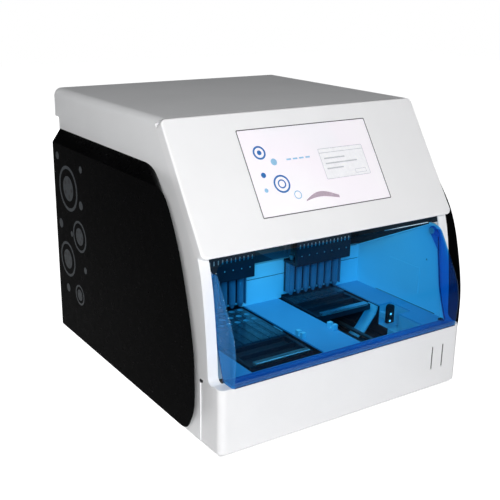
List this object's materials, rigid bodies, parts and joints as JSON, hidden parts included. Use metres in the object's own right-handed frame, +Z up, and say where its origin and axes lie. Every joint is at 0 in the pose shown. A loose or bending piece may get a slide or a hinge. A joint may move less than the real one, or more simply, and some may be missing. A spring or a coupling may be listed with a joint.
{
  "type": "chemiluminescence immunoassay analyzer",
  "caption": "Bench-top immunoassay analyzer with leaning touchscreen, lift-up tinted door, sliding reagent trays and vertical pipetting heads.",
  "frame": {"origin": "middle of the footprint, on the plane the feet rest on", "axes": "+X to the right seen from the front, +Y to the back, +Z up; the door and screen face -Y"},
  "size_m": [0.62, 0.6823, 0.549],
  "materials": {
    "white_shell": "satin moulded shell",
    "black_shell": "satin black moulded shell",
    "blue_acrylic": "clear tinted sheet",
    "screen_glass": "polished front glass over a lit screen",
    "sheet_steel": "light grey powder coat",
    "zinc_steel": "bright zinc plate",
    "aluminium": "anodised",
    "dark_plastic": "fine matt",
    "clear_plastic": "clear moulded",
    "board_green": "solder resist",
    "grey_plastic": "fine matt",
    "rubber": "matt"
  },
  "bodies": {
    "chassis": {"base_plate": "sheet_steel", "front_cover": "white_shell", "housing_cover": "white_shell", "fascia_panel": "white_shell", "touch_glass": "screen_glass", "display_module": "dark_plastic", "left_side_cover": "black_shell", "right_side_cover": "black_shell", "left_side_plate": "sheet_steel", "right_side_plate": "sheet_steel", "deck_plate": "sheet_steel", "chamber_back_wall": "sheet_steel", "upper_shelf": "sheet_steel", "left_tray_tub": "sheet_steel", "right_tray_tub": "sheet_steel", "tray_rails": "zinc_steel", "tray_motors": "dark_plastic", "flat_cables": "clear_plastic", "tray_sensors": "grey_plastic", "strip_sensor": "dark_plastic", "left_reader_hood": "grey_plastic", "right_reader_hood": "grey_plastic", "head_columns": "aluminium", "head_rails": "zinc_steel", "head_motors": "dark_plastic", "light_detectors": "zinc_steel", "main_board": "board_green", "power_supply": "zinc_steel", "card_readers": "dark_plastic", "rear_panel": "sheet_steel", "power_inlet": "dark_plastic", "data_sockets": "zinc_steel", "fan_frames": "dark_plastic", "fan_guards": "zinc_steel", "hinge_blocks": "white_shell", "door_bumpers": "rubber", "feet": "rubber", "screws": "zinc_steel"},
    "door": {"door_panel": "blue_acrylic", "door_pins": "zinc_steel"},
    "left_tray_body": {"left_tray": "dark_plastic", "left_tray_handle": "aluminium", "left_strips": "clear_plastic"},
    "right_tray_body": {"right_tray": "dark_plastic", "right_tray_handle": "aluminium", "right_strips": "clear_plastic"},
    "left_tray_drive": {"left_tray_screw": "zinc_steel"},
    "right_tray_drive": {"right_tray_screw": "zinc_steel"},
    "left_head_body": {"left_head": "dark_plastic", "left_pistons": "zinc_steel", "left_tips": "clear_plastic"},
    "right_head_body": {"right_head": "dark_plastic", "right_pistons": "zinc_steel", "right_tips": "clear_plastic"},
    "left_head_drive": {"left_head_screw": "zinc_steel"},
    "right_head_drive": {"right_head_screw": "zinc_steel"},
    "fan_left": {"fan_rotor_left": "dark_plastic"},
    "fan_right": {"fan_rotor_right": "dark_plastic"},
    "rocker": {"power_rocker": "dark_plastic"}
  },
  "joints": [
    {"name": "door_lift", "type": "hinge", "parent": "chassis", "child": "door", "pos_m": [0, -0.25685, 0.304], "axis": [-1, 0, 0], "range_deg": [0, 60]},
    {"name": "left_tray_slide", "type": "slide", "parent": "chassis", "child": "left_tray_body", "axis": [0, 1, 0], "range_m": [0, 0.122]},
    {"name": "left_tray_screw_turn", "type": "hinge", "parent": "chassis", "child": "left_tray_drive", "pos_m": [-0.1155, -0.13085, 0.094], "axis": [0, 1, 0], "range_deg": [0, 2200]},
    {"name": "left_head_lift", "type": "slide", "parent": "chassis", "child": "left_head_body", "axis": [0, 0, 1], "range_m": [0, 0.06]},
    {"name": "left_head_screw_turn", "type": "hinge", "parent": "chassis", "child": "left_head_drive", "pos_m": [-0.0905, -0.02285, 0.308], "axis": [0, 0, 1], "range_deg": [0, 1084]},
    {"name": "right_tray_slide", "type": "slide", "parent": "chassis", "child": "right_tray_body", "axis": [0, -1, 0], "range_m": [0, 0.122]},
    {"name": "right_tray_screw_turn", "type": "hinge", "parent": "chassis", "child": "right_tray_drive", "pos_m": [0.13, -0.13085, 0.094], "axis": [0, 1, 0], "range_deg": [0, 2200]},
    {"name": "right_head_lift", "type": "slide", "parent": "chassis", "child": "right_head_body", "axis": [0, 0, 1], "range_m": [0, 0.06]},
    {"name": "right_head_screw_turn", "type": "hinge", "parent": "chassis", "child": "right_head_drive", "pos_m": [0.155, -0.02285, 0.308], "axis": [0, 0, 1], "range_deg": [0, 1084]},
    {"name": "fan_left_spin", "type": "hinge", "parent": "chassis", "child": "fan_left", "pos_m": [-0.072, 0.29515, 0.298], "axis": [0, 1, 0], "continuous": true},
    {"name": "fan_right_spin", "type": "hinge", "parent": "chassis", "child": "fan_right", "pos_m": [0.072, 0.29515, 0.298], "axis": [0, 1, 0], "continuous": true},
    {"name": "power_rocker_tilt", "type": "hinge", "parent": "chassis", "child": "rocker", "pos_m": [-0.166, 0.30615, 0.068], "axis": [1, 0, 0], "range_deg": [-16, 0]}
  ],
  "couplings": [
    {"joint": "left_tray_screw_turn", "follows": "left_tray_slide", "rad_per_m": 314.16},
    {"joint": "left_head_screw_turn", "follows": "left_head_lift", "rad_per_m": 314.16},
    {"joint": "right_tray_screw_turn", "follows": "right_tray_slide", "rad_per_m": 314.16},
    {"joint": "right_head_screw_turn", "follows": "right_head_lift", "rad_per_m": 314.16}
  ]
}
